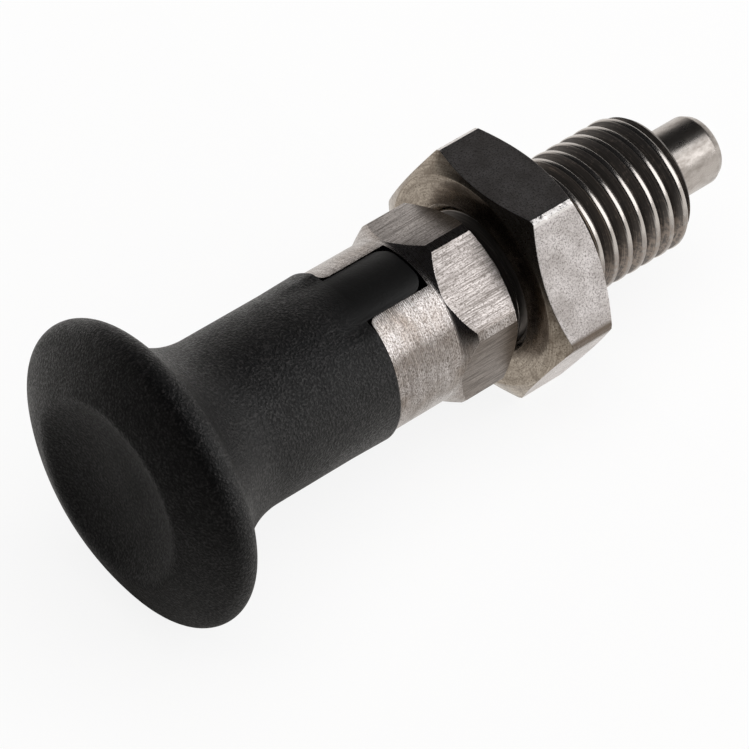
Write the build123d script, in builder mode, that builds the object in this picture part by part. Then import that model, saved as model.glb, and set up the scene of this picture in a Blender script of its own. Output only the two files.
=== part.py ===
"""Indexing plunger with a quarter-turn knob, M12 x 1.5 guide, 6 mm pin and lock nut.

Millimetres, +Z up. The plunger's axis is X and the pin points along +X. The origin is on the axis,
in the guide's shoulder face, which is where the thread starts. The lock nut's flats are level.
"""

from build123d import *
from math import acos, atan2, cos, degrees, hypot, radians, sin, sqrt, tan
import os

# ---------------------------------------------------------------- driving sizes
# thread
thread_crest_d = 11.9  # M12 x 1.5 at the crests
thread_length = 20.0  # shoulder to the guide's front end
thread_end_d = 10.6  # front end of the lead-in chamfer
thread_lead = 0.9
relief_d = 10.1  # turned relief beside the shoulder
relief_width = 1.0

# guide: hexagon, then a round sleeve with two slots
hex_af = 14.0
hex_turn = 39.0  # a corner's angle from +Y towards +Z
hex_length = 4.55  # shoulder to the rear end of the hexagon's corners
hex_corner_cut = 0.22  # radial, how far the blank's turning takes the corners off
shoulder_d = 13.4  # flat part of the shoulder face
front_cone = 30.0  # slope of the chamfer on the shoulder side
rear_cone = 50.0  # slope of the cone on the sleeve side, from the face plane
rear_blend = 1.2  # concave radius between that cone and the sleeve
sleeve_d = 13.94
sleeve_end = 12.13  # shoulder to the sleeve's end face
slot_turn = 94.2  # slot's direction, from +Y towards +Z
slot_width = 5.3
slot_floor = 6.1  # shoulder to the floor of the slots
slot_mouth_round = 0.65

# bores of the guide, from the front
pin_d = 6.0
pin_running = 0.035  # radial clearance of the pin in the guide
pin_bore_length = 8.0
chamber_d = 7.9
chamber_rear = 2.0  # shoulder to the seat of the bush, behind the shoulder
rear_bore_d = 9.5

# pin
pin_reach = 6.2  # how far the pin stands out of the guide
pin_tip_d = 5.2
pin_tip_length = 0.8
pin_tip_edge = 0.25
collar_clearance = 0.1
collar_length = 2.5
shank_d = 4.0
stop_gap = 0.02  # collar to its stop, at rest

# bush and spring
bush_length = 2.5
bush_running = 0.05
bush_edge = 0.3
wire_d = 0.7
wire_sides = 6  # the wire's section, as a polygon
spring_clearance = 0.15  # radial, coils to the chamber
spring_turns = 6.5
spring_seat_gap = 0.04

# knob
knob_gap = 0.05  # skirt to the sleeve's end face, at rest
knob_length = 22.8  # skirt's end to the ridge of the dish
skirt_d = 14.54
skirt_edge = 0.3
neck_d = 14.36
skirt_taper = 3.5  # length over which the skirt narrows to the neck
head_d = 25.7
head_back = 3.2  # ridge of the dish to the widest section of the head
rim_radius = 1.5
flare_radius = 7.8
ridge_d = 15.6
ridge_round = 0.45
dish_depth = 1.8
dish_flat_d = 3.0
tab_clearance = 0.08  # each side of a tab in its slot
tab_below = 0.07  # a tab's outside, below the sleeve's
tab_end_gap = 0.15  # tab's end to the slot's floor
tab_corner = 1.4
ramp_slope = 3.5  # flat run-out from the neck down to each tab
boss_clearance = 0.15
grip_depth = 15.5  # pin's shank inside the knob, from the skirt's end
grip_groove_d = 3.3
grip_groove_width = 0.8
grip_groove_count = 3
grip_groove_pitch = 2.4

# lock nut
nut_af = 19.0
nut_thickness = 6.0
nut_gap = 1.27  # shoulder to the nut, as it was run up
nut_corner_cut = 0.12
nut_face_d = 18.35
nut_cone = 30.0
nut_running = 0.05  # radial, over the thread's crests
nut_mouth = 0.65  # chamfer at both ends of the bore

# ---------------------------------------------------------------- worked-out places
shank_r = shank_d / 2
crest_r = thread_crest_d / 2
sleeve_r = sleeve_d / 2
chamber_r = chamber_d / 2
pin_stop = thread_length - pin_bore_length
bush_seat = -chamber_rear
collar_front = pin_stop - stop_gap
collar_rear = collar_front - collar_length
skirt_end = -sleeve_end - knob_gap
ridge_x = skirt_end - knob_length
axis_plane = Plane.XZ  # profiles: local x is the axis, local y is the radius
slot_plane = Plane((0, 0, 0), x_dir=(1, 0, 0), z_dir=(0, cos(radians(slot_turn)), sin(radians(slot_turn))))
slot_side_plane = Plane((0, 0, 0), x_dir=(1, 0, 0), z_dir=-slot_plane.y_dir)  # local y is the slot's direction

os.makedirs("parts", exist_ok=True)


def hex_corner_r(across_flats):
    return across_flats / 2 / cos(radians(30))


def cut_flats(across_flats, turn, rear, length):
    """Cut a turned blank to a hexagon between rear and rear + length."""
    blank_r = hex_corner_r(across_flats) + 1
    with BuildSketch(Plane.YZ.offset(rear)) as waste:
        Circle(blank_r)
        RegularPolygon(across_flats / 2, 6, major_radius=False, rotation=turn, mode=Mode.SUBTRACT)
    extrude(waste.sketch, amount=length, mode=Mode.SUBTRACT)


# ---------------------------------------------------------------- guide body
corner_r = hex_corner_r(hex_af) - hex_corner_cut
front_cone_x = -(corner_r - shoulder_d / 2) * tan(radians(front_cone))
rear_cone_x = -hex_length - (corner_r - sleeve_r) * tan(radians(rear_cone))

with BuildPart() as guide_body:
    with BuildSketch(axis_plane) as outside:
        with BuildLine():
            Polyline(
                (thread_length, 0),
                (thread_length, thread_end_d / 2),
                (thread_length - thread_lead, crest_r),
                (relief_width, crest_r),
                (relief_width, relief_d / 2),
                (0, relief_d / 2),
                (0, shoulder_d / 2),
                (front_cone_x, corner_r),
                (-hex_length, corner_r),
                (rear_cone_x, sleeve_r),
                (-sleeve_end, sleeve_r),
                (-sleeve_end, 0),
                close=True,
            )
        make_face()
        blend_corner = outside.vertices().sort_by_distance((rear_cone_x, sleeve_r))[0]
        fillet(blend_corner, rear_blend)
    revolve(axis=Axis.X)
    cut_flats(hex_af, hex_turn, rear_cone_x - rear_blend, rear_blend - rear_cone_x)

    with BuildSketch(axis_plane):
        with BuildLine():
            Polyline(
                (thread_length, 0),
                (thread_length, pin_d / 2 + pin_running),
                (pin_stop, pin_d / 2 + pin_running),
                (pin_stop, chamber_r),
                (bush_seat, chamber_r),
                (bush_seat, rear_bore_d / 2),
                (-sleeve_end, rear_bore_d / 2),
                (-sleeve_end, 0),
                close=True,
            )
        make_face()
    revolve(axis=Axis.X, mode=Mode.SUBTRACT)

    with BuildSketch(slot_plane):
        with Locations((-(sleeve_end + slot_floor) / 2, 0)):
            Rectangle(sleeve_end - slot_floor, slot_width)
    extrude(amount=sleeve_d, both=True, mode=Mode.SUBTRACT)
    mouth_edges = guide_body.edges().filter_by(Axis((0, 0, 0), slot_plane.z_dir)).group_by(Axis.X)[0]
    fillet(mouth_edges, slot_mouth_round)

guide_body.part.label = "guide_body"
export_step(guide_body.part, "parts/guide_body.step")

# ---------------------------------------------------------------- retaining bush, pressed into the guide
with BuildPart() as retaining_bush:
    with BuildSketch(Plane.YZ.offset(bush_seat)):
        Circle(rear_bore_d / 2)
        Circle(shank_r + bush_running, mode=Mode.SUBTRACT)
    extrude(amount=-bush_length)
    outer_edges = retaining_bush.edges().filter_by(GeomType.CIRCLE).sort_by(SortBy.RADIUS)[-2:]
    chamfer(outer_edges, bush_edge)

retaining_bush.part.label = "retaining_bush"
export_step(retaining_bush.part, "parts/retaining_bush.step")

# ---------------------------------------------------------------- locating pin
pin_tip = thread_length + pin_reach
shank_end = skirt_end - grip_depth

with BuildPart() as locating_pin:
    with BuildSketch(axis_plane) as turned:
        with BuildLine():
            Polyline(
                (pin_tip, 0),
                (pin_tip, pin_tip_d / 2),
                (pin_tip - pin_tip_length, pin_d / 2),
                (collar_front, pin_d / 2),
                (collar_front, chamber_r - collar_clearance),
                (collar_rear, chamber_r - collar_clearance),
                (collar_rear, shank_r),
                (shank_end, shank_r),
                (shank_end, 0),
                close=True,
            )
        make_face()
        chamfer(turned.vertices().sort_by_distance((pin_tip, pin_tip_d / 2))[0], pin_tip_edge)
        with Locations([(shank_end + grip_groove_pitch * (n + 1), shank_r) for n in range(grip_groove_count)]):
            Rectangle(grip_groove_width, shank_d - grip_groove_d, mode=Mode.SUBTRACT)
    revolve(axis=Axis.X)

locating_pin.part.label = "locating_pin"
export_step(locating_pin.part, "parts/locating_pin.step")

# ---------------------------------------------------------------- spring, between the bush and the collar
coil_r = chamber_r - spring_clearance - wire_d / 2
coil_start = bush_seat + spring_seat_gap + wire_d / 2
coil_length = collar_rear - spring_seat_gap - wire_d / 2 - coil_start

with BuildPart() as spring:
    with BuildLine() as coil:
        Helix(coil_length / spring_turns, coil_length, coil_r, center=(coil_start, 0, 0), direction=(1, 0, 0))
    with BuildSketch(Plane(coil.line @ 0, z_dir=coil.line % 0)):
        RegularPolygon(wire_d / 2, wire_sides)
    sweep(path=coil.line, is_frenet=True)

spring.part.label = "spring"
export_step(spring.part, "parts/spring.step")

# ---------------------------------------------------------------- knob
# The flare is a concave arc that leaves the neck square to the radius and meets the rim's arc smoothly.
# The crown is a cone that touches the rim's arc, and the dish is part of a sphere with a small flat.
neck_r = neck_d / 2
rim_x = ridge_x + head_back
rim_r = head_d / 2 - rim_radius
flare_r = neck_r + flare_radius
flare_x = rim_x + sqrt((flare_radius + rim_radius) ** 2 - (flare_r - rim_r) ** 2)
flare_turn = degrees(atan2(rim_r - flare_r, rim_x - flare_x)) % 360
rim_turn = (flare_turn + 180) % 360
ridge_r = ridge_d / 2
rim_to_ridge = hypot(head_back, rim_r - ridge_r)
rim_stop = degrees(atan2(ridge_r - rim_r, -head_back)) % 360 - degrees(acos(rim_radius / rim_to_ridge))
dish_centre = (ridge_r**2 - (dish_flat_d / 2) ** 2 - dish_depth**2) / (2 * dish_depth)
dish_radius = hypot(dish_centre, ridge_r)
boss_r = rear_bore_d / 2 - boss_clearance
tab_end = -slot_floor - tab_end_gap
tab_r = sleeve_r - tab_below
ramp_rise = skirt_d / 2 - tab_r + skirt_edge

with BuildPart() as knob:
    with BuildSketch(slot_plane) as tab_outline:
        with Locations(((tab_end + skirt_end) / 2, 0)):
            Rectangle(tab_end - skirt_end, slot_width - 2 * tab_clearance)
        fillet(tab_outline.vertices().group_by(Axis.X)[-1], tab_corner)
    extrude(amount=sleeve_d, both=True)
    with BuildSketch(Plane.YZ.offset(tab_end)):
        Circle(tab_r)
    extrude(amount=skirt_end - tab_end, mode=Mode.INTERSECT)

    with BuildSketch(axis_plane) as turned_knob:
        with BuildLine():
            boss = Polyline(
                (skirt_end - grip_depth, 0),
                (tab_end, 0),
                (tab_end, boss_r),
                (skirt_end, boss_r),
                (skirt_end, skirt_d / 2),
                (skirt_end - skirt_taper, neck_r),
                (flare_x, neck_r),
            )
            flare = CenterArc((flare_x, flare_r), flare_radius, 270, flare_turn - 270)
            rim = CenterArc((rim_x, rim_r), rim_radius, rim_turn, rim_stop - rim_turn)
            crown = Line(rim @ 1, (ridge_x, ridge_r))
            dish_floor = Line((ridge_x + dish_depth, 0), (ridge_x + dish_depth, dish_flat_d / 2))
            RadiusArc(dish_floor @ 1, crown @ 1, -dish_radius)
            Line(dish_floor @ 0, boss @ 0)
        make_face()
        chamfer(turned_knob.vertices().sort_by_distance((skirt_end, skirt_d / 2))[0], skirt_edge)
        fillet(turned_knob.vertices().sort_by_distance((ridge_x, ridge_r))[0], ridge_round)
    revolve(axis=Axis.X)

    with BuildSketch(slot_side_plane):
        with BuildLine():
            Polyline(
                (skirt_end, tab_r),
                (skirt_end, tab_r + ramp_rise),
                (skirt_end - ramp_rise / tan(radians(ramp_slope)), tab_r + ramp_rise),
                close=True,
            )
        make_face()
        mirror(about=Plane.XZ)
    extrude(amount=skirt_d, both=True, mode=Mode.SUBTRACT)

    with BuildSketch(Plane.YZ.offset(tab_end)):
        Circle(shank_r)
    extrude(amount=skirt_end - grip_depth - tab_end, mode=Mode.SUBTRACT)

knob.part.label = "knob"
export_step(knob.part, "parts/knob.step")

# ---------------------------------------------------------------- lock nut
nut_rear = nut_gap
nut_front = nut_gap + nut_thickness
nut_corner_r = hex_corner_r(nut_af) - nut_corner_cut
nut_cone_length = (nut_corner_r - nut_face_d / 2) * tan(radians(nut_cone))
nut_bore_r = crest_r + nut_running
nut_mouth_r = nut_bore_r + nut_mouth

with BuildPart() as lock_nut:
    with BuildSketch(axis_plane):
        with BuildLine():
            Polyline(
                (nut_rear, nut_mouth_r),
                (nut_rear, nut_face_d / 2),
                (nut_rear + nut_cone_length, nut_corner_r),
                (nut_front - nut_cone_length, nut_corner_r),
                (nut_front, nut_face_d / 2),
                (nut_front, nut_mouth_r),
                (nut_front - nut_mouth, nut_bore_r),
                (nut_rear + nut_mouth, nut_bore_r),
                close=True,
            )
        make_face()
    revolve(axis=Axis.X)
    cut_flats(nut_af, 0, nut_rear, nut_thickness)

lock_nut.part.label = "lock_nut"
export_step(lock_nut.part, "parts/lock_nut.step")
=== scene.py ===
from math import acos, asin, atan2, cos, degrees, hypot, pi, radians, sin, sqrt, tan

import bmesh
import bpy
import numpy as np
from mathutils import Matrix, Vector, noise


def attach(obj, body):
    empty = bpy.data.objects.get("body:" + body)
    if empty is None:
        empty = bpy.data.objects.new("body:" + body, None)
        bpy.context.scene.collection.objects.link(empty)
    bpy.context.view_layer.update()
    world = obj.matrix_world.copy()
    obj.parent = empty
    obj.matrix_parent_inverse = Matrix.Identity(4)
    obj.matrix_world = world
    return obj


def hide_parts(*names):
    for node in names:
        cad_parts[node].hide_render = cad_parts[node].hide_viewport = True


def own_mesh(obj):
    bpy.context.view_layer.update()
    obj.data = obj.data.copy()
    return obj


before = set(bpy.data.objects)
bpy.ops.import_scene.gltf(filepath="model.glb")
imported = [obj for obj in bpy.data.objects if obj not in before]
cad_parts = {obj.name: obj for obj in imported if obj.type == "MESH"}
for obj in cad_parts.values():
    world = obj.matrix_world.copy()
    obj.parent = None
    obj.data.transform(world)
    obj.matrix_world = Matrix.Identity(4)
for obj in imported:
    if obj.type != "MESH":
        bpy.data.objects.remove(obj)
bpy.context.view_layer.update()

print("frame loaded, solids:", ", ".join(sorted(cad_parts)))
mm = 0.001  # sizes are written in millimetres, meshes are in metres
mergeBelow = 0.0002 * mm  # points closer than this are one


view = {
    "stands": (-175.77, -184.32, 242.14), "lens": 216.29, "sensor": 36, "nearest": 10, "farthest": 20000,
    "heading": 47.7763, "dip": 44.7002, "roll": 1.9336,  # degrees, the heading from +X towards +Y
}


def placeCamera():
    lens = bpy.data.cameras.new("viewCamera")
    lens.lens, lens.sensor_width = view["lens"], view["sensor"]
    lens.clip_start, lens.clip_end = view["nearest"] * mm, view["farthest"] * mm
    camera = bpy.data.objects.new("viewCamera", lens)
    turns = ((view["heading"] - 90, "Z"), (90 - view["dip"], "X"), (view["roll"], "Z"))
    place = Matrix.Translation(Vector(view["stands"]) * mm)
    for turn, axis in turns:
        place = place @ Matrix.Rotation(radians(turn), 4, axis)
    camera.matrix_world = place
    bpy.context.scene.collection.objects.link(camera)
    bpy.context.scene.camera = camera
    print("camera placed")


def show(name, mesh):
    piece = bpy.data.objects.new(name, mesh)
    bpy.context.scene.collection.objects.link(piece)
    return piece


def tidyMesh(piece, sharpFrom=18):  # an edge that turns by more than this many degrees stays sharp
    form = bmesh.new()
    form.from_mesh(piece.data)
    bmesh.ops.remove_doubles(form, verts=form.verts, dist=mergeBelow)
    bmesh.ops.dissolve_degenerate(form, edges=form.edges, dist=mergeBelow)
    bmesh.ops.recalc_face_normals(form, faces=form.faces)
    for face in form.faces:
        face.smooth = True
    for edge in form.edges:
        edge.smooth = len(edge.link_faces) == 2 and edge.calc_face_angle(0) < radians(sharpFrom)
    form.to_mesh(piece.data)
    form.free()
    return piece


def keepResult(piece):  # modifiers become plain mesh
    seen = bpy.context.evaluated_depsgraph_get()
    made = bpy.data.meshes.new_from_object(piece.evaluated_get(seen))
    old = piece.data
    piece.modifiers.clear()
    piece.data = made
    made.name = piece.name
    bpy.data.meshes.remove(old)


def cutWith(piece, tool, operation="DIFFERENCE"):
    step = piece.modifiers.new("cut", "BOOLEAN")
    step.operation, step.solver, step.object = operation, "MANIFOLD", tool
    keepResult(piece)
    bpy.data.objects.remove(tool)


def roundAngles(count):
    return np.linspace(0, 2 * pi, count + 1)[:-1]


def hexAngles(size):
    # angles round the axis, from +Y towards +Z, with one at each side of the strips left on the corners
    strip = pi / 6 - acos(size["acrossFlats"] / 2 / size["cornerRadius"])
    near = [strip * b for b in size["beside"]]
    angles = []
    for corner in range(6):
        middle = radians(size["cornerAt"] + 60 * corner)
        angles += [middle - b for b in near[::-1]] + [middle] + [middle + b for b in near]
        angles += list(np.linspace(middle + near[-1], middle + pi / 3 - near[-1], size["between"] + 2)[1:-1])
    return np.array(angles)


def hexReach(angles, size):
    fromFlat = (angles - radians(size["cornerAt"])) % (pi / 3) - pi / 6
    return np.minimum(size["acrossFlats"] / 2 / np.cos(fromFlat), size["cornerRadius"])


rounding = {"mostOfSide": 0.45, "wideFrom": 0.2, "points": 3, "widePoints": 11}


def turnProfile(name, profile, angles, closed):
    # a corner of the profile is (place on the axis, radius, how far it is rounded), and each of the three may
    # differ round the axis
    count = len(angles)
    corners = []
    for place, radius, soft in profile:
        both = [np.broadcast_to(place, count), np.broadcast_to(radius, count)]
        corners.append(np.stack(both, 1).astype(float))
    rings = []
    for i, corner in enumerate(corners):
        soft = profile[i][2]
        if not np.any(soft):
            rings.append(corner)
            continue
        sides = []
        for side in (corners[i - 1] - corner, corners[(i + 1) % len(corners)] - corner):
            length = np.maximum(np.linalg.norm(side, axis=1), 1e-9)
            sides.append(side * np.minimum(soft / length, rounding["mostOfSide"])[:, None])
        steps = rounding["points"] if np.max(soft) < rounding["wideFrom"] else rounding["widePoints"]
        rings += [corner + sides[0] * (1 - t) ** 2 + sides[1] * t ** 2 for t in np.linspace(0, 1, steps)]
    points = [(x * mm, r * cos(a) * mm, r * sin(a) * mm) for ring in rings for (x, r), a in zip(ring, angles)]
    faces = []
    for i in range(len(rings) if closed else len(rings) - 1):
        a, b = i * count, (i + 1) % len(rings) * count
        faces += [(a + j, a + (j + 1) % count, b + (j + 1) % count, b + j) for j in range(count)]
    mesh = bpy.data.meshes.new(name)
    mesh.from_pydata(points, [], faces)
    return tidyMesh(show(name, mesh))


def arcPoints(middle, radius, start, stop, count):  # degrees, in the plane of axis and radius
    turns = np.radians(np.linspace(start, stop, count))
    return [(middle[0] + radius * cos(t), middle[1] + radius * sin(t), 0) for t in turns]


def smoothArc(start, heading, stop, count):  # leaves start along heading and ends in stop
    span = np.subtract(stop, start)
    side = np.array((-heading[1], heading[0]))
    radius = span @ span / (2 * span @ side)
    middle = start + side * radius
    first = atan2(*(start - middle)[::-1])
    turn = (atan2(*(np.array(stop) - middle)[::-1]) - first + pi) % (2 * pi) - pi
    return arcPoints(middle, abs(radius), degrees(first), degrees(first + turn), count)


slotTurn = radians(94.2)  # the slots' direction, from +Y towards +Z
outward = np.array((0, cos(slotTurn), sin(slotTurn)))
across = np.array((0, sin(slotTurn), -cos(slotTurn)))


def slotBlock(name, outline, low, high):  # outline in axis and across, drawn out from low to high
    count = len(outline)
    points = [np.array((x, 0, 0)) + w * across + d * outward for d in (low, high) for x, w in outline]
    faces = [tuple(range(count)), tuple(range(2 * count - 1, count - 1, -1))]
    faces += [(j, (j + 1) % count, count + (j + 1) % count, count + j) for j in range(count)]
    mesh = bpy.data.meshes.new(name)
    mesh.from_pydata([tuple(p * mm) for p in points], [], faces)
    return tidyMesh(show(name, mesh))


def newTree(name, sizes):
    tree = bpy.data.node_groups.new(name, "GeometryNodeTree")
    tree.interface.new_socket("Geometry", in_out="OUTPUT", socket_type="NodeSocketGeometry")
    for title, value in sizes.items():
        kind = {int: "NodeSocketInt", float: "NodeSocketFloat"}.get(type(value), "NodeSocketMaterial")
        tree.interface.new_socket(title, in_out="INPUT", socket_type=kind)
    return tree, tree.nodes.new("NodeGroupInput").outputs


def join(tree, value, socket):
    if isinstance(value, bpy.types.NodeSocket):
        tree.links.new(value, socket)
    else:
        socket.default_value = value


def work(tree, operation, *values):
    node = tree.nodes.new("ShaderNodeMath")
    node.operation = operation
    for value, socket in zip(values, node.inputs):
        join(tree, value, socket)
    return node.outputs[0]


def plus(tree, first, second):
    return work(tree, "ADD", first, second)


def minus(tree, first, second):
    return work(tree, "SUBTRACT", first, second)


def times(tree, first, second):
    return work(tree, "MULTIPLY", first, second)


def timesPlus(tree, first, second, third):
    return work(tree, "MULTIPLY_ADD", first, second, third)


def distance(tree, first, second):
    return work(tree, "SQRT", plus(tree, times(tree, first, first), times(tree, second, second)))


def towards(tree, first, second, turn):
    # how far a point lies in the direction that is turned from first towards second
    return timesPlus(tree, first, cos(turn), times(tree, second, sin(turn)))


def putTogether(tree, x, y, z):
    node = tree.nodes.new("ShaderNodeCombineXYZ")
    for value, socket in zip((x, y, z), node.inputs):
        join(tree, value, socket)
    return node.outputs[0]


def takeApart(tree, vector):
    node = tree.nodes.new("ShaderNodeSeparateXYZ")
    tree.links.new(vector, node.inputs[0])
    return node.outputs


def roundAxis(tree, along, radius, angle):  # a place, from its place on the axis, its radius and its angle
    side = times(tree, radius, work(tree, "COSINE", angle))
    rise = times(tree, radius, work(tree, "SINE", angle))
    return putTogether(tree, *(times(tree, part, mm) for part in (along, side, rise)))


def endTree(tree, geometry, material):
    real = tree.nodes.new("GeometryNodeRealizeInstances")
    paint = tree.nodes.new("GeometryNodeSetMaterial")
    out = tree.nodes.new("NodeGroupOutput")
    tree.links.new(geometry, real.inputs["Geometry"])
    tree.links.new(real.outputs["Geometry"], paint.inputs["Geometry"])
    tree.links.new(material, paint.inputs["Material"])
    tree.links.new(paint.outputs["Geometry"], out.inputs["Geometry"])


def runTree(name, tree, sizes):
    piece = show(name, bpy.data.meshes.new(name))
    step = piece.modifiers.new(name, "NODES")
    step.node_group = tree
    for socket in tree.interface.items_tree:
        if socket.in_out == "INPUT":
            step[socket.identifier] = sizes[socket.name]
    keepResult(piece)
    return piece


def newFinish(name, color, metallic, roughness):
    finish = bpy.data.materials.new(name)
    finish.use_nodes = True
    shader = finish.node_tree.nodes["Principled BSDF"]
    shader.inputs["Base Color"].default_value = (*color, 1)
    shader.inputs["Metallic"].default_value = metallic
    shader.inputs["Roughness"].default_value = roughness
    return finish, finish.node_tree, shader


def millimetres(tree, scale=(1, 1, 1)):
    place, sized = tree.nodes.new("ShaderNodeTexCoord"), tree.nodes.new("ShaderNodeMapping")
    sized.inputs["Scale"].default_value = [s / mm for s in scale]
    tree.links.new(place.outputs["Object"], sized.inputs["Vector"])
    return sized.outputs[0]


def grain(tree, vector, scale, detail=2.0, rough=0.5):
    node = tree.nodes.new("ShaderNodeTexNoise")
    node.inputs["Scale"].default_value = scale
    node.inputs["Detail"].default_value = detail
    node.inputs["Roughness"].default_value = rough
    tree.links.new(vector, node.inputs["Vector"])
    return node.outputs[0]


def spread(tree, value, low, high, toLow=0.0, toHigh=1.0):
    node = tree.nodes.new("ShaderNodeMapRange")
    for socket, number in zip(node.inputs[1:5], (low, high, toLow, toHigh)):
        socket.default_value = number
    tree.links.new(value, node.inputs[0])
    return node.outputs[0]


def blendColor(tree, factor, first, second):
    node = tree.nodes.new("ShaderNodeMix")
    node.data_type = "RGBA"
    join(tree, factor, node.inputs[0])
    for value, socket in ((first, node.inputs[6]), (second, node.inputs[7])):
        join(tree, value if isinstance(value, bpy.types.NodeSocket) else (*value, 1), socket)
    return node.outputs[2]


def cover(tree, base, value, where, color):  # a colour comes in over the base where a value rises
    return blendColor(tree, spread(tree, value, *where), base, color)


noiseSpan = (0.3, 0.7)  # nearly all of a noise lies in between


def uneven(tree, value, look, roughness=None):  # a roughness that follows a noise
    middle = roughness or look["roughness"]
    return spread(tree, value, *noiseSpan, middle - look["smoother"], middle + look["rougher"])


def relief(tree, shader, *heights):  # each is (height from 0 to 1, depth in millimetres)
    normal = None
    for height, depth in heights:
        node = tree.nodes.new("ShaderNodeBump")
        node.inputs["Distance"].default_value = depth * mm
        tree.links.new(height, node.inputs["Height"])
        if normal:
            tree.links.new(normal, node.inputs["Normal"])
        normal = node.outputs[0]
    tree.links.new(normal, shader.inputs["Normal"])


ringLean = 1.37  # tool marks follow the radius too, by this much, so that flat ends get rings


def turnedCoordinates(tree, alongScale, aroundScale):
    # fine along a turned surface and slow round it, so that noise becomes tool marks
    x, y, z = takeApart(tree, millimetres(tree))
    radius = distance(tree, y, z)
    along = plus(tree, x, times(tree, radius, ringLean))
    around = (times(tree, side, aroundScale) for side in (y, z))
    return putTogether(tree, times(tree, along, alongScale), *around), x, radius


# grime and painted shade: one side, given from +Y towards +Z, is coloured darker and browner
shadeAndGrimeLook = {"side": -172.0, "color": (0.165, 0.135, 0.112), "line": (0.065, 0.052, 0.043)}


def undersideShare(tree, low, high, radius=None):
    # 0 to 1 towards the grime and painted shade, low and high in millimetres from the axis or as shares of a
    # radius
    y, z = takeApart(tree, millimetres(tree))[1:]
    side = towards(tree, y, z, radians(shadeAndGrimeLook["side"]))
    if radius:
        side = work(tree, "DIVIDE", side, radius)
    return spread(tree, side, low, high)


# In the finishes below, Noise is a noise's scale, detail and roughness, and Stretch the scales of its
# coordinates. Where says between what two levels of it a colour comes in, then its least and its full share
# where these aren't 0 and 1. At, Along and Across are places in millimetres, as Depth is a relief's height.
nylonLook = {
    "color": (0.001, 0.001, 0.0011), "pale": (0.0175, 0.0162, 0.0162), "sleek": (0.003, 0.0029, 0.0029),
    "roughness": 0.43, "smoother": 0.04, "rougher": 0.05, "paleWhere": (0.52, 0.64),
    "pitWhere": (0.38, 0.62), "pitRoughness": 0.16, "grainNoise": (5.0, 3, 0.6), "grainDepth": 0.13,
    "swellNoise": (0.35, 2), "swellDepth": 0.05, "sleekRoughness": 0.47, "sleekGrain": 0.15,
    "sleekAlong": (-15.5, -12.3), "sleekAcross": (3.1, 2.3),
}


def nylon():
    look = nylonLook
    finish, tree, shader = newFinish("blackNylon", look["color"], 0, look["roughness"])
    place = millimetres(tree)
    x, y, z = takeApart(tree, place)
    # the tabs and the way down to them are sleek, the rest is grained
    aside = work(tree, "ABSOLUTE", towards(tree, y, z, slotTurn - pi / 2))
    sleek = times(tree, spread(tree, x, *look["sleekAlong"]), spread(tree, aside, *look["sleekAcross"]))
    grained = minus(tree, 1.0, sleek)
    fine = grain(tree, place, *look["grainNoise"])
    swell = grain(tree, place, *look["swellNoise"])
    pale = times(tree, spread(tree, fine, *look["paleWhere"]), grained)
    base = blendColor(tree, grained, look["sleek"], look["color"])
    join(tree, blendColor(tree, pale, base, look["pale"]), shader.inputs["Base Color"])
    pits = spread(tree, fine, *look["pitWhere"], look["pitRoughness"], -look["pitRoughness"] / 2)
    above = minus(tree, plus(tree, uneven(tree, swell, look), pits), look["sleekRoughness"])
    join(tree, timesPlus(tree, grained, above, look["sleekRoughness"]), shader.inputs["Roughness"])
    grainShare = timesPlus(tree, grained, 1 - look["sleekGrain"], look["sleekGrain"])
    relief(tree, shader, (swell, look["swellDepth"]), (times(tree, fine, grainShare), look["grainDepth"]))
    return finish


turnedLook = {
    "color": (0.645, 0.608, 0.594), "roughness": 0.25, "smoother": 0.05, "rougher": 0.08,
    "stain": (0.35, 0.3, 0.264), "stainNoise": (0.45, 4, 0.6), "stainWhere": (0.42, 0.72),
    "shadeAndDirt": 0.05, "shadeAndDirtAt": (3.0, 7.0), "fineNoise": (9, 2), "fineDepth": 0.0012,
    "line": (0.17, 0.152, 0.138), "lineStretch": (7, 0.22), "lineNoise": (1, 3, 0.65),
    "lineWhere": (0.35, 0.7, 0, 0.6), "lineDepth": 0.0035, "toolStep": 0.17, "toolDepth": 0.0035,
    "speck": (0.13, 0.107, 0.092), "speckStretch": (9, 6), "speckNoise": (1, 3, 0.8),
    "speckWhere": (0.47, 0.6, 0, 0.95), "speckDepth": 0.0025,
}


def turnedSteel(name="turnedSteel", color=None, roughness=None):
    look = turnedLook
    color, roughness = color or look["color"], roughness or look["roughness"]
    finish, tree, shader = newFinish(name, color, 1, roughness)
    place, x, radius = turnedCoordinates(tree, *look["lineStretch"])
    lines = grain(tree, place, *look["lineNoise"])
    patches = grain(tree, millimetres(tree), *look["stainNoise"])
    fine = grain(tree, millimetres(tree), *look["fineNoise"])
    specks = grain(tree, turnedCoordinates(tree, *look["speckStretch"])[0], *look["speckNoise"])
    # stains come in more towards the underside: dirt, and painted shade
    stainAndShade = timesPlus(tree, undersideShare(tree, *look["shadeAndDirtAt"]), look["shadeAndDirt"], patches)
    base = cover(tree, color, stainAndShade, look["stainWhere"], look["stain"])
    base = cover(tree, base, lines, look["lineWhere"], look["line"])
    base = cover(tree, base, specks, look["speckWhere"], look["speck"])
    join(tree, base, shader.inputs["Base Color"])
    join(tree, uneven(tree, lines, look, roughness), shader.inputs["Roughness"])
    tool = times(tree, timesPlus(tree, radius, ringLean, x), 2 * pi / look["toolStep"])
    tool = times(tree, work(tree, "SINE", tool), patches)
    marks = ((lines, look["lineDepth"]), (tool, look["toolDepth"]), (specks, look["speckDepth"]))
    relief(tree, shader, *marks, (fine, look["fineDepth"]))
    return finish


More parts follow.
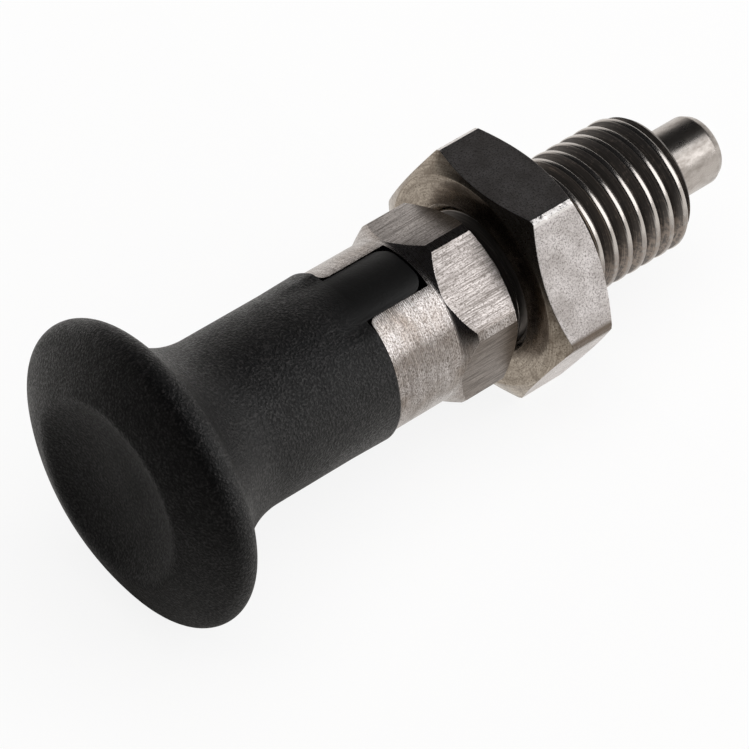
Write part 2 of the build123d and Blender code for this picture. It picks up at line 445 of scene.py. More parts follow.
flatLook = {
    "color": (0.56, 0.518, 0.5), "dark": (0.13, 0.112, 0.1),
    "roughness": 0.3, "smoother": 0.05, "rougher": 0.1,
    "wideStretch": (0.06, 2.6, 2.6), "wideNoise": (1, 3, 0.7), "wideWhere": (0.52, 0.7, 0, 0.6),
    "lineStretch": (0.4, 10, 10), "lineNoise": (1, 4, 0.7), "lineWhere": (0.4, 0.64, 0, 0.85),
    "wideDepth": 0.009, "lineDepth": 0.006,
    "speckStretch": (5, 9, 9), "speckNoise": (1, 4, 0.75), "speckWhere": (0.48, 0.62, 0, 0.9),
    "fineStretch": (4, 11, 11), "fineNoise": (1, 2), "fineDepth": 0.0015,
    "shadeAndGrime": 0.8, "shadeAndGrimeAt": (6.2, 7.05), "shadeAndGrimeLineWhere": (0.46, 0.6),
}


def milledSteel():
    look = flatLook
    finish, tree, shader = newFinish("milledSteel", look["color"], 1, look["roughness"])
    wide, lines, fine, specks = (
        grain(tree, millimetres(tree, look[mark + "Stretch"]), *look[mark + "Noise"])
        for mark in ("wide", "line", "fine", "speck")
    )
    base = cover(tree, look["color"], lines, look["lineWhere"], look["dark"])
    base = cover(tree, base, wide, look["wideWhere"], look["dark"])
    base = cover(tree, base, specks, look["speckWhere"], look["dark"])
    # grime and painted shade darken the flats towards the underside, and the tool lines there most
    shadeAndGrimeShare = times(tree, undersideShare(tree, *look["shadeAndGrimeAt"]), look["shadeAndGrime"])
    base = blendColor(tree, shadeAndGrimeShare, base, shadeAndGrimeLook["color"])
    shadeAndGrimeLines = times(tree, shadeAndGrimeShare, spread(tree, lines, *look["shadeAndGrimeLineWhere"]))
    join(tree, blendColor(tree, shadeAndGrimeLines, base, shadeAndGrimeLook["line"]), shader.inputs["Base Color"])
    join(tree, uneven(tree, lines, look), shader.inputs["Roughness"])
    relief(tree, shader, (wide, look["wideDepth"]), (lines, look["lineDepth"]), (fine, look["fineDepth"]))
    return finish


nutLook = {
    "color": (0.71, 0.675, 0.668), "roughness": 0.38, "smoother": 0.03, "rougher": 0.09,
    "patch": (0.45, 0.417, 0.402), "patchNoise": (0.6, 4), "patchWhere": (0.38, 0.66, 0, 0.75),
    "speck": (0.2, 0.178, 0.167), "speckNoise": (7.5, 4, 0.7), "speckWhere": (0.46, 0.68),
    "speckDepth": 0.006, "fineNoise": (14, 2), "fineDepth": 0.0015, "shadeAndGrimeAt": (10.38, 10.58),
    "worn": (0.74, 0.715, 0.7), "wornNoise": (2.6, 4, 0.7), "wornUneven": 0.07, "wornAt": (10.725, 10.805),
    "wornSpeckWhere": (0.5, 0.7, 0, 0.5), "wornRoughness": -0.1,
    "pit": (0.09, 0.075, 0.06), "pitNoise": (5.5, 3, 0.6), "pitWhere": (0.61, 0.68, 0, 0.8), "pitDepth": 0.01,
}


def nutSteel():
    look = nutLook
    finish, tree, shader = newFinish("nutSteel", look["color"], 1, look["roughness"])
    place = millimetres(tree)
    y, z = takeApart(tree, place)[1:]
    specks, patches, fine, rub, pitting = (
        grain(tree, place, *look[mark + "Noise"]) for mark in ("speck", "patch", "fine", "worn", "pit")
    )
    base = cover(tree, look["color"], patches, look["patchWhere"], look["patch"])
    base = cover(tree, base, specks, look["speckWhere"], look["speck"])
    # the corners are rubbed bright and pitted, and the one on the underside carries grime and painted shade
    edge = timesPlus(tree, rub, look["wornUneven"], distance(tree, y, z))
    worn = spread(tree, edge, *look["wornAt"])
    pits = times(tree, spread(tree, pitting, *look["pitWhere"]), worn)
    rubbed = cover(tree, look["worn"], specks, look["wornSpeckWhere"], look["color"])
    base = blendColor(tree, worn, base, rubbed)
    base = blendColor(tree, undersideShare(tree, *look["shadeAndGrimeAt"]), base, shadeAndGrimeLook["color"])
    join(tree, blendColor(tree, pits, base, look["pit"]), shader.inputs["Base Color"])
    rough = timesPlus(tree, worn, look["wornRoughness"], uneven(tree, specks, look))
    join(tree, rough, shader.inputs["Roughness"])
    marks = ((specks, look["speckDepth"]), (fine, look["fineDepth"]))
    relief(tree, shader, *marks, (minus(tree, 1.0, pits), look["pitDepth"]))
    return finish


# the nut's faces, chamfers and bore are turned, and coloured darker and browner than its flats as painted
# shade
shadedNutFaceLook = {
    "color": (0.42, 0.367, 0.305), "stain": (0.16, 0.128, 0.098),
    "roughness": 0.23, "smoother": 0.05, "rougher": 0.08,
    "lineStretch": (5, 0.3), "lineNoise": (1, 3, 0.65), "lineWhere": (0.4, 0.65, 0, 0.75), "lineDepth": 0.004,
    "blotNoise": (0.8, 4, 0.7), "blotWhere": (0.5, 0.66, 0, 0.8),
    "speckNoise": (6, 4, 0.7), "speckWhere": (0.48, 0.66), "speckDepth": 0.003,
}


def shadedNutFaceSteel():
    look = shadedNutFaceLook
    finish, tree, shader = newFinish("shadedNutFaceSteel", look["color"], 1, look["roughness"])
    lines = grain(tree, turnedCoordinates(tree, *look["lineStretch"])[0], *look["lineNoise"])
    specks, blots = (grain(tree, millimetres(tree), *look[mark + "Noise"]) for mark in ("speck", "blot"))
    base = cover(tree, look["color"], lines, look["lineWhere"], look["stain"])
    base = cover(tree, base, blots, look["blotWhere"], look["stain"])
    base = cover(tree, base, specks, look["speckWhere"], look["stain"])
    join(tree, base, shader.inputs["Base Color"])
    join(tree, uneven(tree, specks, look), shader.inputs["Roughness"])
    relief(tree, shader, (lines, look["lineDepth"]), (specks, look["speckDepth"]))
    return finish


threadLook = {
    "crest": (0.52, 0.488, 0.46), "crestAt": (5.84, 5.9), "crestRoughness": 0.23,
    "shadedFlank": (0.11, 0.1, 0.093), "flankAt": (5.1, 5.55), "flankMetallic": 0.8, "shadedRoot": (0.09, 0.081, 0.075),
    "roughness": 0.42, "smoother": 0.06, "rougher": 0.1,
    "lineStretch": (6, 0.35), "lineNoise": (1, 3, 0.6), "lineDepth": 0.004,
    "streak": (0.19, 0.17, 0.156), "streakWhere": (0.42, 0.62, 0, 0.6),
    "grimeNoise": (2.3, 5, 0.75), "grimeDepth": 0.004,
    "shadeAndDirtFrom": (0.91, 0.99), "crestShadeAndDirtWhere": (0.35, 0.55, 0.3, 0.9),
    "mottle": (0.33, 0.28, 0.243), "mottleWhere": (0.86, 1.04), "mottleAlong": (3.0, 13.0, 0.1, 1.0),
    "mottleFromLines": 0.6, "mottleFromShadeAndDirt": 0.18,
}


def threadSteel():
    look = threadLook
    finish, tree, shader = newFinish("threadSteel", look["shadedFlank"], 1, look["roughness"])
    place, x, radius = turnedCoordinates(tree, *look["lineStretch"])
    lines = grain(tree, place, *look["lineNoise"])
    shadeAndGrime = grain(tree, millimetres(tree), *look["grimeNoise"])
    # painted shade: the flanks are coloured dark, and darker still towards the root of the groove
    base = cover(tree, look["shadedRoot"], radius, look["flankAt"], look["shadedFlank"])
    base = cover(tree, base, lines, look["streakWhere"], look["streak"])
    # towards the underside the crests lose their bright colour and the mottle comes in more: grime, and
    # painted shade
    shadeAndDirt = undersideShare(tree, *look["shadeAndDirtFrom"], radius)
    smear = timesPlus(tree, shadeAndDirt, look["mottleFromShadeAndDirt"], shadeAndGrime)
    smear = timesPlus(tree, lines, look["mottleFromLines"], smear)
    smear = times(tree, spread(tree, smear, *look["mottleWhere"]), spread(tree, x, *look["mottleAlong"]))
    base = blendColor(tree, smear, base, look["mottle"])
    clearOfShadeAndDirt = minus(tree, 1.0, times(tree, shadeAndDirt, spread(tree, shadeAndGrime, *look["crestShadeAndDirtWhere"])))
    onCrest = times(tree, spread(tree, radius, *look["crestAt"]), clearOfShadeAndDirt)
    join(tree, blendColor(tree, onCrest, base, look["crest"]), shader.inputs["Base Color"])
    join(tree, spread(tree, onCrest, 0, 1, look["flankMetallic"], 1.0), shader.inputs["Metallic"])
    dull = times(tree, uneven(tree, shadeAndGrime, look), minus(tree, 1.0, onCrest))
    rough = plus(tree, dull, times(tree, onCrest, look["crestRoughness"]))
    join(tree, rough, shader.inputs["Roughness"])
    relief(tree, shader, (lines, look["lineDepth"]), (shadeAndGrime, look["grimeDepth"]))
    return finish


pinLook = {
    "color": (0.45, 0.418, 0.392), "roughness": 0.27, "smoother": 0.04, "rougher": 0.1,
    "lineStretch": (9, 0.3), "lineNoise": (1, 3, 0.6), "lineDepth": 0.002,
    "smear": (0.25, 0.222, 0.2), "smearStretch": (0.5, 1, 1), "smearNoise": (1.1, 5, 0.7),
    "smearWhere": (0.45, 0.7), "smearDepth": 0.004,
}


def pinSteel():
    look = pinLook
    finish, tree, shader = newFinish("groundSteel", look["color"], 1, look["roughness"])
    lines = grain(tree, turnedCoordinates(tree, *look["lineStretch"])[0], *look["lineNoise"])
    smear = grain(tree, millimetres(tree, look["smearStretch"]), *look["smearNoise"])
    base = cover(tree, look["color"], smear, look["smearWhere"], look["smear"])
    join(tree, base, shader.inputs["Base Color"])
    join(tree, uneven(tree, smear, look), shader.inputs["Roughness"])
    relief(tree, shader, (lines, look["lineDepth"]), (smear, look["smearDepth"]))
    return finish


finishes = {
    "nylon": nylon(), "turned": turnedSteel(), "milled": milledSteel(),
    "nut": nutSteel(), "shadedNutFace": shadedNutFaceSteel(), "thread": threadSteel(), "pin": pinSteel(),
    "wire": turnedSteel("springSteel", (0.42, 0.40, 0.385), 0.3),
    "bush": turnedSteel("bushSteel", (0.46, 0.43, 0.40), 0.33),
}
nodeFinish = {
    "guide_body": "turned", "retaining_bush": "bush", "locating_pin": "pin",
    "spring": "wire", "knob": "nylon", "lock_nut": "nut",
}
for nodeName, finishName in nodeFinish.items():
    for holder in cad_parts[nodeName].material_slots:
        holder.material = finishes[finishName]
print("finishes made:", len(finishes))


# the guide is one piece: threaded stem, hexagon and slotted sleeve
guide = {
    "crestRadius": 5.95, "stemLength": 20.0, "endRadius": 5.3, "leadIn": 0.9,
    "reliefRadius": 5.05, "reliefWidth": 1.0,
    "acrossFlats": 14.0, "cornerAt": 39.0, "cornerRadius": 7.86, "hexLength": 4.55,
    "beside": (1.0,), "between": 42,
    "shoulderRadius": 6.7, "frontSlope": 30.0, "rearSlope": 50.0, "rearBlend": 0.8,
    "sleeveRadius": 6.97, "sleeveEnd": 12.13, "slotWidth": 5.3, "slotFloor": 6.1, "slotMouth": 0.65,
    "slotWear": 0.03, "slotWearFine": 3.1,
    "pinBore": 3.035, "pinStop": 12.0, "chamberRadius": 3.95, "bushSeat": -2.0, "rearBore": 4.75,
}
threadSizes = {
    "Pitch": 1.5, "Root Radius": 5.1, "Root Width": 0.1, "Flank Radius": 5.87, "Flank Slope": 0.57735,
    "Shoulder Radius": 5.92, "Shoulder Slope": 1.08, "Edge Radius": 5.943, "Edge Slope": 2.0,
    "Outer Radius": 5.97, "Outer Slope": 4.7, "Start": 0.9675, "First Turn": -0.14, "Turns": 13.4,
    "Run Out": 0.3, "Steps": 1340, "Material": finishes["thread"],
}


def threadTree():
    # a strip eleven points wide is bent into the groove's section, its last side on its first, and wound up
    tree, size = newTree("threadGroove", threadSizes)
    strip = tree.nodes.new("GeometryNodeMeshGrid")
    strip.inputs["Size X"].default_value, strip.inputs["Size Y"].default_value = 10, 1
    strip.inputs["Vertices X"].default_value = 11
    join(tree, size["Steps"], strip.inputs["Vertices Y"])
    x, y = takeApart(tree, tree.nodes.new("GeometryNodeInputPosition").outputs[0])[:2]
    column, share = plus(tree, x, 0.5), plus(tree, y, 0.5)
    off = work(tree, "ABSOLUTE", column)
    side = work(tree, "SIGN", times(tree, column, minus(tree, 5.0, column)))
    half = times(tree, size["Root Width"], 0.5)
    section = before = size["Root Radius"]
    for k, part in enumerate(("Flank", "Shoulder", "Edge", "Outer")):
        past = work(tree, "GREATER_THAN", off, k + 1.0)
        rise = times(tree, past, minus(tree, size[part + " Radius"], before))
        half = timesPlus(tree, rise, size[part + " Slope"], half)
        section = plus(tree, section, rise)
        before = size[part + " Radius"]
    turned = times(tree, share, size["Turns"])
    fade = work(tree, "MINIMUM", turned, minus(tree, size["Turns"], turned))
    fade = work(tree, "MINIMUM", work(tree, "DIVIDE", fade, size["Run Out"]), 1.0)
    turns = plus(tree, turned, size["First Turn"])
    along = timesPlus(tree, turns, size["Pitch"], size["Start"])
    along = timesPlus(tree, times(tree, side, half), fade, along)
    depth = minus(tree, size["Outer Radius"], section)
    radius = minus(tree, size["Outer Radius"], times(tree, depth, fade))
    spot = roundAxis(tree, along, radius, times(tree, turns, 2 * pi))
    move = tree.nodes.new("GeometryNodeSetPosition")
    merge = tree.nodes.new("GeometryNodeMergeByDistance")
    tree.links.new(strip.outputs["Mesh"], move.inputs["Geometry"])
    tree.links.new(spot, move.inputs["Position"])
    tree.links.new(move.outputs["Geometry"], merge.inputs["Geometry"])
    merge.inputs["Distance"].default_value = 0.0005 * mm  # the strip's sides become one
    endTree(tree, merge.outputs["Geometry"], size["Material"])
    return tree


def rearPath():  # the cone behind the hexagon and its blend into the sleeve, from the corner inwards
    g = guide
    slope, blend = radians(g["rearSlope"]), g["rearBlend"]
    coneFoot = -g["hexLength"] - (g["cornerRadius"] - g["sleeveRadius"]) * tan(slope)
    turn = pi / 2 - slope
    middle = (coneFoot - blend * tan(turn / 2), g["sleeveRadius"] + blend)
    fan = [(middle[0] + blend * sin(t), middle[1] - blend * cos(t)) for t in np.linspace(turn, 0, 17)]
    return np.array([(-g["hexLength"], g["cornerRadius"])] + fan)


def guideOutline(angles):
    g = guide
    reach = hexReach(angles, g)
    profile = [
        (g["stemLength"], g["pinBore"], 0.15),
        (g["stemLength"], g["endRadius"], 0.05),
        (g["stemLength"] - g["leadIn"], g["crestRadius"], 0.05),
        (g["reliefWidth"], g["crestRadius"], 0.04),
        (g["reliefWidth"], g["reliefRadius"], 0.05),
        (0, g["reliefRadius"], 0.08),
        (0, g["shoulderRadius"], 0.05),
        (-(reach - g["shoulderRadius"]) * tan(radians(g["frontSlope"])), reach, 0.05),
    ]
    path = rearPath()
    steps = np.arange(len(path))
    start = np.interp(-reach, -path[:, 1], steps)  # where the flats meet the cone
    profile.append((np.interp(start, steps, path[:, 0]), reach, 0.04))
    for share in np.linspace(0, 1, 15)[1:]:
        spot = start + (len(path) - 1 - start) * share
        profile.append((np.interp(spot, steps, path[:, 0]), np.interp(spot, steps, path[:, 1]), 0))
    profile += [
        (-g["sleeveEnd"], g["sleeveRadius"], 0.1),
        (-g["sleeveEnd"], g["rearBore"], 0.1),
        (g["bushSeat"], g["rearBore"], 0),
        (g["bushSeat"], g["chamberRadius"], 0),
        (g["pinStop"], g["chamberRadius"], 0),
        (g["pinStop"], g["pinBore"], 0),
    ]
    return profile


def slotOutline():  # the slot's sides are a little uneven, and round off at the sleeve's end
    g = guide
    half, mouth, rim = g["slotWidth"] / 2, g["slotMouth"], -g["sleeveEnd"]
    steps = np.linspace(-g["slotFloor"], rim + mouth, 40)
    wear = [g["slotWear"] * noise.noise(Vector((x * g["slotWearFine"], 4.2, 0))) for x in steps]
    side = [(x, half + w) for x, w in zip(steps, wear)]
    quarter = np.linspace(0, pi / 2, 10)[1:]
    bend = [(rim + mouth - mouth * sin(t), half + mouth - mouth * cos(t)) for t in quarter]
    wall = side + bend + [(rim - 1, half + mouth)]
    return wall + [(x, -w) for x, w in wall[::-1]]


def guideFinish(face, flats):
    # 2 is thread, short of both its ends and outside the bore, 1 is milled, on a flat, and 0 is turned
    g = guide
    x, y, z = face.center / mm
    if 0.5 < x < g["stemLength"] - 0.02 and hypot(y, z) > g["pinBore"] + 0.2:
        return 2
    if x >= 0 or abs(face.normal.x) >= 0.01:
        return 0
    for flat in flats:
        if face.normal.dot(flat) > 0.9995 and face.center.dot(flat) > (g["acrossFlats"] / 2 - 0.01) * mm:
            return 1
    return 0


def makeGuide():
    g = guide
    angles = hexAngles(g)
    piece = turnProfile("slottedGuide", guideOutline(angles), angles, True)
    cutWith(piece, tidyMesh(runTree("threadGroove", threadTree(), threadSizes)))
    print("guide: thread cut,", len(piece.data.polygons), "faces")
    cutWith(piece, slotBlock("slotTool", slotOutline(), -9, 9))
    tidyMesh(piece)
    piece.data.materials.clear()
    for name in ("turned", "milled", "thread"):
        piece.data.materials.append(finishes[name])
    turns = [radians(g["cornerAt"] + 30 + 60 * k) for k in range(6)]
    flats = [Vector((0, cos(t), sin(t))) for t in turns]
    for face in piece.data.polygons:
        face.material_index = guideFinish(face, flats)
    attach(piece, "guide")
    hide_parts("guide_body")
    print("guide made,", len(piece.data.polygons), "faces")


makeGuide()


nut = {
    "rear": 1.27, "thick": 6.0, "acrossFlats": 19.0, "cornerAt": 0.0, "cornerRadius": 10.85,
    "faceRadius": 9.175, "slope": 30.0, "boreRadius": 6.0, "mouth": 0.65, "edgeSoft": 0.05, "boreSoft": 0.03,
    "beside": (0.5, 1.0, 1.5, 2.1, 2.9, 4.0), "between": 30, "ringsBetween": 54,
    "nickDepth": 0.06, "nickSize": 0.26, "nickFrom": 0.2, "nickReach": 0.0585, "nickFade": 0.045,
}


def makeNut():
    n = nut
    angles = hexAngles(n)
    reach = hexReach(angles, n)
    rear, front, soft = n["rear"], n["rear"] + n["thick"], n["edgeSoft"]
    cone = (reach - n["faceRadius"]) * tan(radians(n["slope"]))
    mouthRadius = n["boreRadius"] + n["mouth"]
    profile = [(rear, mouthRadius, soft), (rear, n["faceRadius"], soft), (rear + cone, reach, soft)]
    # the corners are nicked
    offCorner = np.abs((angles - radians(n["cornerAt"]) + pi / 6) % (pi / 3) - pi / 6)
    closeBy = np.clip((n["nickReach"] - offCorner) / n["nickFade"], 0, 1)
    for share in np.linspace(0, 1, n["ringsBetween"] + 2)[1:-1]:
        x = rear + cone + (n["thick"] - 2 * cone) * share
        spots = [Vector((px, r * cos(a), r * sin(a))) / n["nickSize"] for px, r, a in zip(x, reach, angles)]
        nicks = np.array([max(0.0, noise.noise(spot) - n["nickFrom"]) for spot in spots])
        profile.append((x, reach - nicks * n["nickDepth"] * closeBy, 0))
    profile += [
        (front - cone, reach, soft), (front, n["faceRadius"], soft), (front, mouthRadius, soft),
        (front - n["mouth"], n["boreRadius"], n["boreSoft"]),
        (rear + n["mouth"], n["boreRadius"], n["boreSoft"]),
    ]
    piece = turnProfile("hexNut", profile, angles, True)
    for name in ("nut", "shadedNutFace"):
        piece.data.materials.append(finishes[name])
    for face in piece.data.polygons:
        x, y, z = face.center / mm
        onCone = abs(face.normal.x) > 0.3 and min(x - rear, front - x) < cone.max()
        face.material_index = 1 if onCone or hypot(y, z) < n["faceRadius"] else 0
    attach(piece, "nut")
    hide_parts("lock_nut")
    print("nut made,", len(piece.data.polygons), "faces")


makeNut()


pin = {
    "reach": 26.2, "radius": 3.0, "tipRadius": 2.6, "tipLength": 0.8, "tipRound": 0.3, "tipFlat": 0.6,
    "collarFront": 11.98, "collarLength": 2.5, "collarRadius": 3.85, "shankRadius": 2.0, "shankEnd": -27.68,
    "grooveRadius": 1.65, "grooveWidth": 0.8, "grooveStep": 2.4, "grooves": 3, "around": 192,
}


def makePin():
    p = pin
    angles = roundAngles(p["around"])
    collarRear = p["collarFront"] - p["collarLength"]
    profile = [
        (p["reach"], 0, 0), (p["reach"], p["tipRadius"] - p["tipFlat"], 0),
        (p["reach"], p["tipRadius"], p["tipRound"]), (p["reach"] - p["tipLength"], p["radius"], 0.12),
        (p["collarFront"], p["radius"], 0.05), (p["collarFront"], p["collarRadius"], 0.1),
        (collarRear, p["collarRadius"], 0.1), (collarRear, p["shankRadius"], 0.1),
    ]
    for k in range(p["grooves"], 0, -1):
        middle, half = p["shankEnd"] + p["grooveStep"] * k, p["grooveWidth"] / 2
        profile += [(middle + half, p["shankRadius"], 0.05), (middle + half, p["grooveRadius"], 0.05),
                    (middle - half, p["grooveRadius"], 0.05), (middle - half, p["shankRadius"], 0.05)]
    profile += [(p["shankEnd"], p["shankRadius"], 0.1), (p["shankEnd"], 0, 0)]
    piece = turnProfile("groundPin", profile, angles, False)
    piece.data.materials.append(finishes["pin"])
    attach(piece, "plunger")
    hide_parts("locating_pin")
    print("pin made,", len(piece.data.polygons), "faces")


makePin()


springSizes = {
    "Wire": 0.7, "Coil Radius": 3.45, "First": -1.61, "Length": 10.7, "Turns": 6.5, "Closed Pitch": 0.72,
    "Steps": 340, "Sides": 14, "Material": finishes["wire"],
}


def springTree():
    tree, size = newTree("coilSpring", springSizes)
    line = tree.nodes.new("GeometryNodeCurvePrimitiveLine")
    points = tree.nodes.new("GeometryNodeResampleCurve")
    tree.links.new(line.outputs[0], points.inputs["Curve"])
    join(tree, size["Steps"], points.inputs["Count"])
    share = tree.nodes.new("GeometryNodeSplineParameter").outputs["Factor"]
    turned = times(tree, share, size["Turns"])
    left = minus(tree, size["Turns"], turned)
    # one turn at each end lies closed, the rest is open
    atStart = work(tree, "MINIMUM", turned, 1.0)
    atEnd = minus(tree, 1.0, work(tree, "MINIMUM", left, 1.0))
    openTurns = minus(tree, size["Turns"], 2.0)
    openLength = minus(tree, size["Length"], times(tree, size["Closed Pitch"], 2.0))
    middle = work(tree, "MINIMUM", minus(tree, turned, 1.0), openTurns)
    middle = work(tree, "MAXIMUM", middle, 0.0)
    along = timesPlus(tree, plus(tree, atStart, atEnd), size["Closed Pitch"], size["First"])
    along = timesPlus(tree, middle, work(tree, "DIVIDE", openLength, openTurns), along)
    spot = roundAxis(tree, along, size["Coil Radius"], times(tree, turned, 2 * pi))
    move = tree.nodes.new("GeometryNodeSetPosition")
    tree.links.new(points.outputs[0], move.inputs["Geometry"])
    tree.links.new(spot, move.inputs["Position"])
    section = tree.nodes.new("GeometryNodeCurvePrimitiveCircle")
    wire = tree.nodes.new("GeometryNodeCurveToMesh")
    join(tree, size["Sides"], section.inputs["Resolution"])
    join(tree, times(tree, size["Wire"], mm / 2), section.inputs["Radius"])
    tree.links.new(move.outputs["Geometry"], wire.inputs["Curve"])
    tree.links.new(section.outputs["Curve"], wire.inputs["Profile Curve"])
    wire.inputs["Fill Caps"].default_value = True
    endTree(tree, wire.outputs["Mesh"], size["Material"])
    return tree


def makeSpring():
    piece = tidyMesh(runTree("coilSpring", springTree(), springSizes), sharpFrom=50)
    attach(piece, "guide")
    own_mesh(piece)
    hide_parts("spring")
    print("spring made,", len(piece.data.polygons), "faces")


makeSpring()


knob = {
    "skirtEnd": -12.18, "length": 22.8, "skirtRadius": 7.27, "neckRadius": 7.18, "taper": 3.5, "around": 288,
    "headRadius": 12.85, "headBack": 3.2, "rimRadius": 1.5, "rimStop": 150.0, "flareRadius": 7.8,
    "ridgeRadius": 7.8, "ridgeSoft": 0.6, "ridgeRoom": 2.3, "dishDepth": 1.8, "dishFlat": 1.5,
    "bossRadius": 4.6, "gripDepth": 15.5, "gripRadius": 2.0,
    "skirtSoft": 0.16, "skirtSharp": 0.002, "skirtSide": 2.5, "skirtWear": 0.03, "skirtWearFine": 9,
    "tabEnd": -6.25, "tabHalf": 2.57, "tabRadius": 6.9, "tabCorner": 1.4, "tabSoft": 0.3,
    "tabRoot": 2.2, "tabInside": 4.2, "tabOutside": 8.5, "tabAround": 256,
    "rampSlope": 3.5, "rampSoft": 0.05, "rampSide": 11.0,
}


def besideTab(angles):  # how far an angle lies outside the width of a tab
    return np.abs((angles - slotTurn + pi / 2) % pi - pi / 2) - asin(knob["tabHalf"] / knob["tabRadius"])


def skirtReach(x, angles):
    # the skirt sinks softly to the level of each tab
    k = knob
    plain = np.interp(x, [k["skirtEnd"] - k["taper"], k["skirtEnd"]], [k["neckRadius"], k["skirtRadius"]])
    level = k["tabRadius"] + (k["skirtEnd"] - x) * tan(radians(k["rampSlope"]))
    level = (plain + level - sqrt((plain - level) ** 2 + k["rampSoft"] ** 2)) / 2
    share = np.clip(besideTab(angles) / radians(k["rampSide"]), 0, 1)
    return level + (plain - level) * share ** 2 * (3 - 2 * share)


def headOutline():  # dish, ridge, crown, rim and flare, and where on the axis the flare ends
    k = knob
    ridge = (k["skirtEnd"] - k["length"], k["ridgeRadius"])
    rim = (ridge[0] + k["headBack"], k["headRadius"] - k["rimRadius"])
    flareHeight = k["neckRadius"] + k["flareRadius"]
    behindRim = sqrt((k["flareRadius"] + k["rimRadius"]) ** 2 - (flareHeight - rim[1]) ** 2)
    flare = (rim[0] + behindRim, flareHeight)
    flareTurn = degrees(atan2(rim[1] - flare[1], rim[0] - flare[0])) % 360
    rimArc = arcPoints(rim, k["rimRadius"], k["rimStop"], (flareTurn + 180) % 360, count=26)
    flareArc = arcPoints(flare, k["flareRadius"], flareTurn, 270, count=40)
    heading = np.array((-sin(radians(k["rimStop"])), cos(radians(k["rimStop"]))))
    crown = smoothArc(np.array(rimArc[0][:2]), heading, ridge, count=18)[::-1]
    bottom = ridge[0] + k["dishDepth"]
    dish = smoothArc(np.array((bottom, k["dishFlat"])), np.array((0.0, 1.0)), ridge, count=34)
    room = k["ridgeRoom"] * k["ridgeSoft"]  # the ridge is rounded by itself
    dish, crown = (
        [p for p in line if hypot(p[0] - ridge[0], p[1] - ridge[1]) > room] for line in (dish, crown[:-1])
    )
    middle = [(bottom, 0, 0), (bottom, k["dishFlat"] / 2, 0)]
    return middle + dish + [(*ridge, k["ridgeSoft"])] + crown + rimArc + flareArc[1:], flare[0]


def knobOutline(angles):
    k = knob
    profile, neck = headOutline()
    end, gripEnd = k["skirtEnd"], k["skirtEnd"] - k["gripDepth"]
    profile += [(x, skirtReach(x, angles), 0) for x in np.linspace(neck + 0.5, end - 0.3, 40)]
    # the skirt's edge is a little uneven, and sharp where it runs out into the tabs
    spots = [Vector((cos(a) * k["skirtWearFine"], sin(a) * k["skirtWearFine"], 1.5)) for a in angles]
    wave = np.array([k["skirtWear"] + k["skirtWear"] * noise.noise(spot) for spot in spots])
    besideShare = np.clip(besideTab(angles) / radians(k["skirtSide"]), 0, 1)
    soft = k["skirtSharp"] + (k["skirtSoft"] - k["skirtSharp"]) * besideShare
    profile += [
        (end - wave, skirtReach(end, angles), soft), (end, k["bossRadius"], 0),
        (k["tabEnd"], k["bossRadius"], 0), (k["tabEnd"], k["gripRadius"], 0),
        (gripEnd, k["gripRadius"], 0), (gripEnd, 0, 0),
    ]
    return profile


def makeTab(direction):
    k = knob
    end, half, corner, back = k["tabEnd"], k["tabHalf"], k["tabCorner"], k["skirtEnd"] - k["tabRoot"]
    quarter = np.linspace(0, pi / 2, 12)
    bend = [(end - corner + corner * cos(t), half - corner + corner * sin(t)) for t in quarter]
    outline = bend + [(back, half), (back, -half)] + [(x, -w) for x, w in bend[::-1]]
    low, high = sorted((direction * k["tabInside"], direction * k["tabOutside"]))
    tab = slotBlock("knobTab", outline, low, high)
    barrel = [(-20, 0, 0), (-20, k["tabRadius"], 0), (0, k["tabRadius"], 0), (0, 0, 0)]
    cutWith(tab, turnProfile("tabRound", barrel, roundAngles(k["tabAround"]), False), "INTERSECT")
    tidyMesh(tab)
    soft = tab.modifiers.new("soft", "BEVEL")
    soft.width, soft.segments = k["tabSoft"] * mm, 3
    soft.limit_method, soft.angle_limit = "ANGLE", radians(40)
    keepResult(tab)
    return tidyMesh(tab)


def makeKnob():
    angles = roundAngles(knob["around"])
    piece = turnProfile("nylonKnob", knobOutline(angles), angles, False)
    for direction in (1, -1):
        cutWith(piece, makeTab(direction), "UNION")
    tidyMesh(piece, sharpFrom=24)
    piece.data.materials.clear()
    piece.data.materials.append(finishes["nylon"])
    for face in piece.data.polygons:
        face.material_index = 0
    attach(piece, "plunger")
    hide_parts("knob")
    print("knob made,", len(piece.data.polygons), "faces")


makeKnob()


# lamps are placed and sized in metres, brightSide and keyFrom turn by degrees from +Y towards +X
studio = {
    "floorColor": (0.90, 0.885, 0.87), "floorRoughness": 0.9, "floorSpecular": 0.1,
    "floorSize": 1600, "floorBelow": 0.01, "floorBend": 3.0, "floorFall": 1.0,
    "floorGlow": 0.88, "floorClear": (25.0, 130.0), "floorNear": (1.0, 0.975, 0.945),
    "floorFar": (0.03, 0.028, 0.025), "floorFade": (-105.0, 2.0), "floorFadePower": 2.0,
    "shadeAt": (-30.0, 0.0), "shadeLong": 1.6, "shadeFrom": (3.0, 14.0, 0.15, 1.0),
    "keySize": 0.74, "keyAway": 0.95, "keyFrom": (138.0, 34.5), "keyPower": 3.7,
    "fillSize": 1.2, "fillAt": (0.02, -0.05, 0.9), "fillPower": 9.0,
    "horizon": (0.95, 0.92, 0.89), "zenith": (0.017, 0.017, 0.018), "zenithFrom": (0.1, 0.36),
    "brightSide": 67.0, "sideFrom": (-0.35, 0.1, 1.0, 0.0),
}
white = (1, 1, 1)


def towardsBright(tree, x, y):
    return towards(tree, x, y, radians(90 - studio["brightSide"]))


